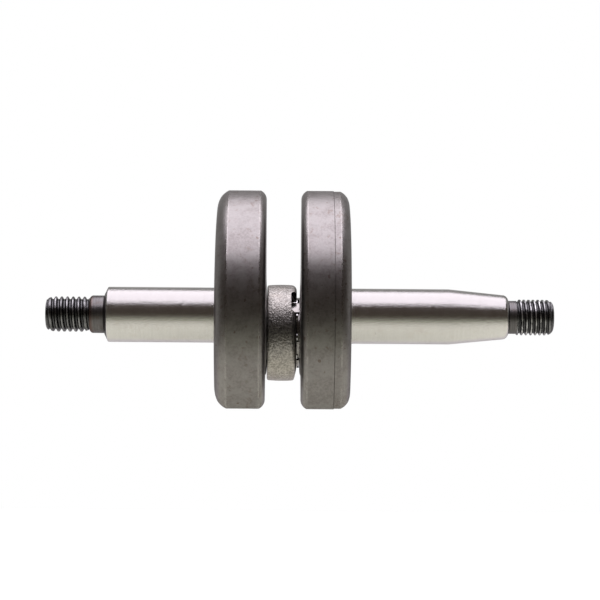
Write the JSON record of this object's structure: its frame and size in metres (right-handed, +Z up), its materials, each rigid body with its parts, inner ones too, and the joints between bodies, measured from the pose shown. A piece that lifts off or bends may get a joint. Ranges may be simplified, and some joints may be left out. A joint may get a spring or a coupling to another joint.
{
  "type": "crankshaft",
  "caption": "Built-up crankshaft for a small two-stroke engine: half cranks with threaded ends, pressed crank pin, connecting rod on needle bearings.",
  "frame": {"origin": "on the shaft axis, midway between the two webs", "axes": "+X along the shaft towards the flywheel taper, +Y away from the counterweights towards the connecting rod's small end, +Z up"},
  "size_m": [0.1102, 0.1011, 0.046],
  "materials": {
    "forged_steel": "satin forged steel webs with ground journals and dark threads",
    "ground_steel": "ground",
    "blasted_steel": "shot blasted, matte",
    "cage_steel": "satin sheet steel",
    "cup_steel": "drawn, satin",
    "bearing_steel": "polished"
  },
  "bodies": {
    "crank": {"starter_side_half": "forged_steel", "flywheel_side_half": "forged_steel", "crank_pin": "ground_steel"},
    "rod": {"connecting_rod": "blasted_steel", "small_end_cup": "cup_steel"},
    "big_cage": {"big_end_cage": "cage_steel"},
    "small_cage": {"small_end_cage": "cage_steel"},
    "big_end_roller_01_body": {"big_end_roller_01": "bearing_steel"},
    "big_end_roller_02_body": {"big_end_roller_02": "bearing_steel"},
    "big_end_roller_03_body": {"big_end_roller_03": "bearing_steel"},
    "big_end_roller_04_body": {"big_end_roller_04": "bearing_steel"},
    "big_end_roller_05_body": {"big_end_roller_05": "bearing_steel"},
    "big_end_roller_06_body": {"big_end_roller_06": "bearing_steel"},
    "big_end_roller_07_body": {"big_end_roller_07": "bearing_steel"},
    "big_end_roller_08_body": {"big_end_roller_08": "bearing_steel"},
    "big_end_roller_09_body": {"big_end_roller_09": "bearing_steel"},
    "big_end_roller_10_body": {"big_end_roller_10": "bearing_steel"},
    "small_end_roller_01_body": {"small_end_roller_01": "bearing_steel"},
    "small_end_roller_02_body": {"small_end_roller_02": "bearing_steel"},
    "small_end_roller_03_body": {"small_end_roller_03": "bearing_steel"},
    "small_end_roller_04_body": {"small_end_roller_04": "bearing_steel"},
    "small_end_roller_05_body": {"small_end_roller_05": "bearing_steel"},
    "small_end_roller_06_body": {"small_end_roller_06": "bearing_steel"},
    "small_end_roller_07_body": {"small_end_roller_07": "bearing_steel"},
    "small_end_roller_08_body": {"small_end_roller_08": "bearing_steel"},
    "small_end_roller_09_body": {"small_end_roller_09": "bearing_steel"},
    "small_end_roller_10_body": {"small_end_roller_10": "bearing_steel"}
  },
  "joints": [
    {"name": "rod_spin", "type": "hinge", "parent": "crank", "child": "rod", "pos_m": [0, 0.01342, -0.00398], "axis": [1, 0, 0], "continuous": true},
    {"name": "big_cage_spin", "type": "hinge", "parent": "crank", "child": "big_cage", "pos_m": [0, 0.01342, -0.00398], "axis": [1, 0, 0], "continuous": true},
    {"name": "small_cage_spin", "type": "hinge", "parent": "rod", "child": "small_cage", "pos_m": [-0.0003, 0.06542, -0.00398], "axis": [1, 0, 0], "continuous": true},
    {"name": "big_end_roller_01_spin", "type": "hinge", "parent": "big_cage", "child": "big_end_roller_01_body", "pos_m": [0, 0.01052, 0.00239], "axis": [1, 0, 0], "continuous": true},
    {"name": "big_end_roller_02_spin", "type": "hinge", "parent": "big_cage", "child": "big_end_roller_02_body", "pos_m": [0, 0.00733, -0.00053], "axis": [1, 0, 0], "continuous": true},
    {"name": "big_end_roller_03_spin", "type": "hinge", "parent": "big_cage", "child": "big_end_roller_03_body", "pos_m": [0, 0.00647, -0.00477], "axis": [1, 0, 0], "continuous": true},
    {"name": "big_end_roller_04_spin", "type": "hinge", "parent": "big_cage", "child": "big_end_roller_04_body", "pos_m": [0, 0.00826, -0.00871], "axis": [1, 0, 0], "continuous": true},
    {"name": "big_end_roller_05_spin", "type": "hinge", "parent": "big_cage", "child": "big_end_roller_05_body", "pos_m": [0, 0.01203, -0.01084], "axis": [1, 0, 0], "continuous": true},
    {"name": "big_end_roller_06_spin", "type": "hinge", "parent": "big_cage", "child": "big_end_roller_06_body", "pos_m": [0, 0.01633, -0.01035], "axis": [1, 0, 0], "continuous": true},
    {"name": "big_end_roller_07_spin", "type": "hinge", "parent": "big_cage", "child": "big_end_roller_07_body", "pos_m": [0, 0.01952, -0.00742], "axis": [1, 0, 0], "continuous": true},
    {"name": "big_end_roller_08_spin", "type": "hinge", "parent": "big_cage", "child": "big_end_roller_08_body", "pos_m": [0, 0.02038, -0.00318], "axis": [1, 0, 0], "continuous": true},
    {"name": "big_end_roller_09_spin", "type": "hinge", "parent": "big_cage", "child": "big_end_roller_09_body", "pos_m": [0, 0.01858, 0.00075], "axis": [1, 0, 0], "continuous": true},
    {"name": "big_end_roller_10_spin", "type": "hinge", "parent": "big_cage", "child": "big_end_roller_10_body", "pos_m": [0, 0.01482, 0.00288], "axis": [1, 0, 0], "continuous": true},
    {"name": "small_end_roller_01_spin", "type": "hinge", "parent": "small_cage", "child": "small_end_roller_01_body", "pos_m": [-0.0003, 0.07017, -0.00398], "axis": [1, 0, 0], "continuous": true},
    {"name": "small_end_roller_02_spin", "type": "hinge", "parent": "small_cage", "child": "small_end_roller_02_body", "pos_m": [-0.0003, 0.06927, -0.00118], "axis": [1, 0, 0], "continuous": true},
    {"name": "small_end_roller_03_spin", "type": "hinge", "parent": "small_cage", "child": "small_end_roller_03_body", "pos_m": [-0.0003, 0.06689, 0.00054], "axis": [1, 0, 0], "continuous": true},
    {"name": "small_end_roller_04_spin", "type": "hinge", "parent": "small_cage", "child": "small_end_roller_04_body", "pos_m": [-0.0003, 0.06396, 0.00054], "axis": [1, 0, 0], "continuous": true},
    {"name": "small_end_roller_05_spin", "type": "hinge", "parent": "small_cage", "child": "small_end_roller_05_body", "pos_m": [-0.0003, 0.06158, -0.00118], "axis": [1, 0, 0], "continuous": true},
    {"name": "small_end_roller_06_spin", "type": "hinge", "parent": "small_cage", "child": "small_end_roller_06_body", "pos_m": [-0.0003, 0.06067, -0.00398], "axis": [1, 0, 0], "continuous": true},
    {"name": "small_end_roller_07_spin", "type": "hinge", "parent": "small_cage", "child": "small_end_roller_07_body", "pos_m": [-0.0003, 0.06158, -0.00677], "axis": [1, 0, 0], "continuous": true},
    {"name": "small_end_roller_08_spin", "type": "hinge", "parent": "small_cage", "child": "small_end_roller_08_body", "pos_m": [-0.0003, 0.06396, -0.00849], "axis": [1, 0, 0], "continuous": true},
    {"name": "small_end_roller_09_spin", "type": "hinge", "parent": "small_cage", "child": "small_end_roller_09_body", "pos_m": [-0.0003, 0.06689, -0.00849], "axis": [1, 0, 0], "continuous": true},
    {"name": "small_end_roller_10_spin", "type": "hinge", "parent": "small_cage", "child": "small_end_roller_10_body", "pos_m": [-0.0003, 0.06927, -0.00677], "axis": [1, 0, 0], "continuous": true}
  ],
  "couplings": [
    {"joint": "big_cage_spin", "follows": "rod_spin", "ratio": 0.57143},
    {"joint": "big_end_roller_01_spin", "follows": "rod_spin", "ratio": 3.4286},
    {"joint": "big_end_roller_02_spin", "follows": "rod_spin", "ratio": 3.4286},
    {"joint": "big_end_roller_03_spin", "follows": "rod_spin", "ratio": 3.4286},
    {"joint": "big_end_roller_04_spin", "follows": "rod_spin", "ratio": 3.4286},
    {"joint": "big_end_roller_05_spin", "follows": "rod_spin", "ratio": 3.4286},
    {"joint": "big_end_roller_06_spin", "follows": "rod_spin", "ratio": 3.4286},
    {"joint": "big_end_roller_07_spin", "follows": "rod_spin", "ratio": 3.4286},
    {"joint": "big_end_roller_08_spin", "follows": "rod_spin", "ratio": 3.4286},
    {"joint": "big_end_roller_09_spin", "follows": "rod_spin", "ratio": 3.4286},
    {"joint": "big_end_roller_10_spin", "follows": "rod_spin", "ratio": 3.4286},
    {"joint": "small_end_roller_01_spin", "follows": "small_cage_spin", "ratio": -7.3333},
    {"joint": "small_end_roller_02_spin", "follows": "small_cage_spin", "ratio": -7.3333},
    {"joint": "small_end_roller_03_spin", "follows": "small_cage_spin", "ratio": -7.3333},
    {"joint": "small_end_roller_04_spin", "follows": "small_cage_spin", "ratio": -7.3333},
    {"joint": "small_end_roller_05_spin", "follows": "small_cage_spin", "ratio": -7.3333},
    {"joint": "small_end_roller_06_spin", "follows": "small_cage_spin", "ratio": -7.3333},
    {"joint": "small_end_roller_07_spin", "follows": "small_cage_spin", "ratio": -7.3333},
    {"joint": "small_end_roller_08_spin", "follows": "small_cage_spin", "ratio": -7.3333},
    {"joint": "small_end_roller_09_spin", "follows": "small_cage_spin", "ratio": -7.3333},
    {"joint": "small_end_roller_10_spin", "follows": "small_cage_spin", "ratio": -7.3333}
  ]
}
